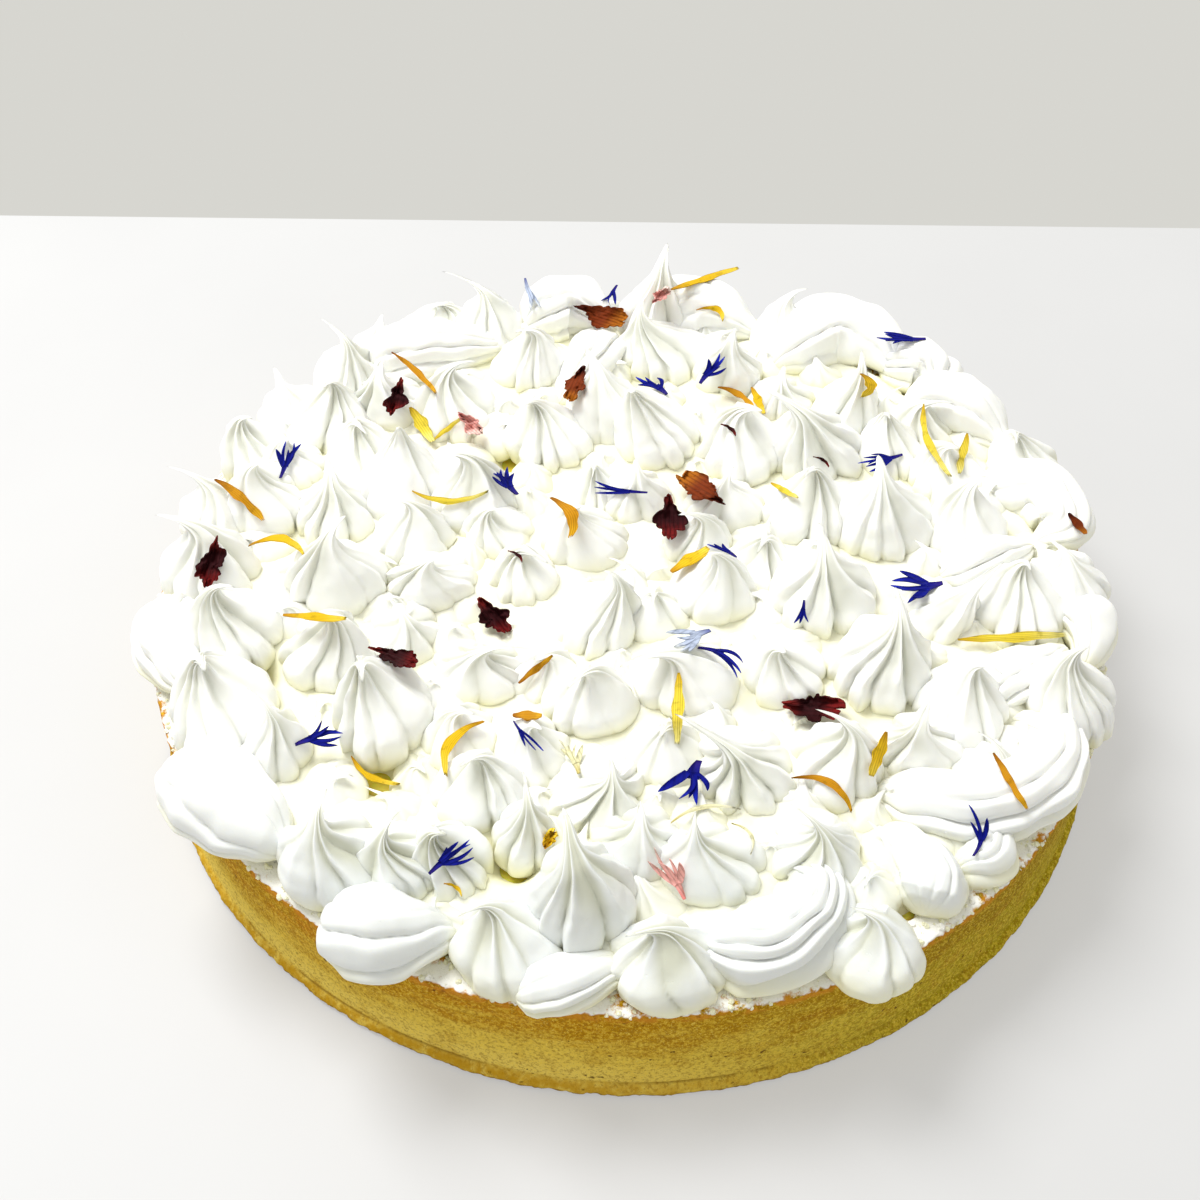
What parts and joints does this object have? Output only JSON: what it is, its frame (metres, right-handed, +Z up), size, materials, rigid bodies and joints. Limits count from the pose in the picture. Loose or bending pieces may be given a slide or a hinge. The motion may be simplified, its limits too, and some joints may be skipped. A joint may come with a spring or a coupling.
{
  "type": "lemon meringue tart",
  "caption": "Round lemon tart in a straight-sided pastry shell, topped with piped soft meringue kisses and scattered dried flower petals.",
  "frame": {"origin": "centre of the pastry shell's flat underside", "axes": "+Z up out of the meringue, -Y towards the viewer of the picture, +X to that viewer's right"},
  "size_m": [0.2633, 0.261, 0.0658],
  "materials": {
    "baked_pastry": "matt, sandy, finely pitted",
    "lemon_curd": "smooth, wet",
    "white_meringue": "soft satin",
    "petal_yellow": "dry",
    "petal_orange": "dry",
    "petal_rust": "dry",
    "petal_rose": "dry",
    "petal_pink": "dry",
    "petal_blue": "dry",
    "petal_pale": "dry"
  },
  "bodies": {
    "root": {"pastry_shell": "baked_pastry", "lemon_curd": "lemon_curd", "meringue": "white_meringue", "petal_blue_1": "petal_blue", "petal_blue_2": "petal_blue", "petal_blue_3": "petal_blue", "petal_blue_4": "petal_blue", "petal_blue_5": "petal_blue", "petal_blue_6": "petal_blue", "petal_blue_7": "petal_blue", "petal_blue_8": "petal_blue", "petal_blue_9": "petal_blue", "petal_blue_10": "petal_blue", "petal_blue_11": "petal_blue", "petal_blue_12": "petal_blue", "petal_blue_13": "petal_blue", "petal_blue_14": "petal_blue", "petal_blue_15": "petal_blue", "petal_blue_16": "petal_blue", "petal_blue_17": "petal_blue", "petal_orange_1": "petal_orange", "petal_orange_2": "petal_orange", "petal_orange_3": "petal_orange", "petal_orange_4": "petal_orange", "petal_orange_5": "petal_orange", "petal_orange_6": "petal_orange", "petal_orange_7": "petal_orange", "petal_orange_8": "petal_orange", "petal_orange_9": "petal_orange", "petal_pale_1": "petal_pale", "petal_pale_2": "petal_pale", "petal_pale_3": "petal_pale", "petal_pink_1": "petal_pink", "petal_pink_2": "petal_pink", "petal_rose_1": "petal_rose", "petal_rose_2": "petal_rose", "petal_rose_3": "petal_rose", "petal_rose_4": "petal_rose", "petal_rose_5": "petal_rose", "petal_rose_6": "petal_rose", "petal_rose_7": "petal_rose", "petal_rose_8": "petal_rose", "petal_rust_1": "petal_rust", "petal_yellow_1": "petal_yellow", "petal_yellow_2": "petal_yellow", "petal_yellow_3": "petal_yellow", "petal_yellow_4": "petal_yellow", "petal_yellow_5": "petal_yellow", "petal_yellow_6": "petal_yellow", "petal_yellow_7": "petal_yellow", "petal_yellow_8": "petal_yellow", "petal_yellow_9": "petal_yellow", "petal_yellow_10": "petal_yellow", "petal_yellow_11": "petal_yellow", "petal_yellow_12": "petal_yellow", "petal_yellow_13": "petal_yellow", "petal_yellow_14": "petal_yellow", "petal_yellow_15": "petal_yellow", "petal_yellow_16": "petal_yellow", "petal_yellow_17": "petal_yellow"}
  },
  "joints": []
}
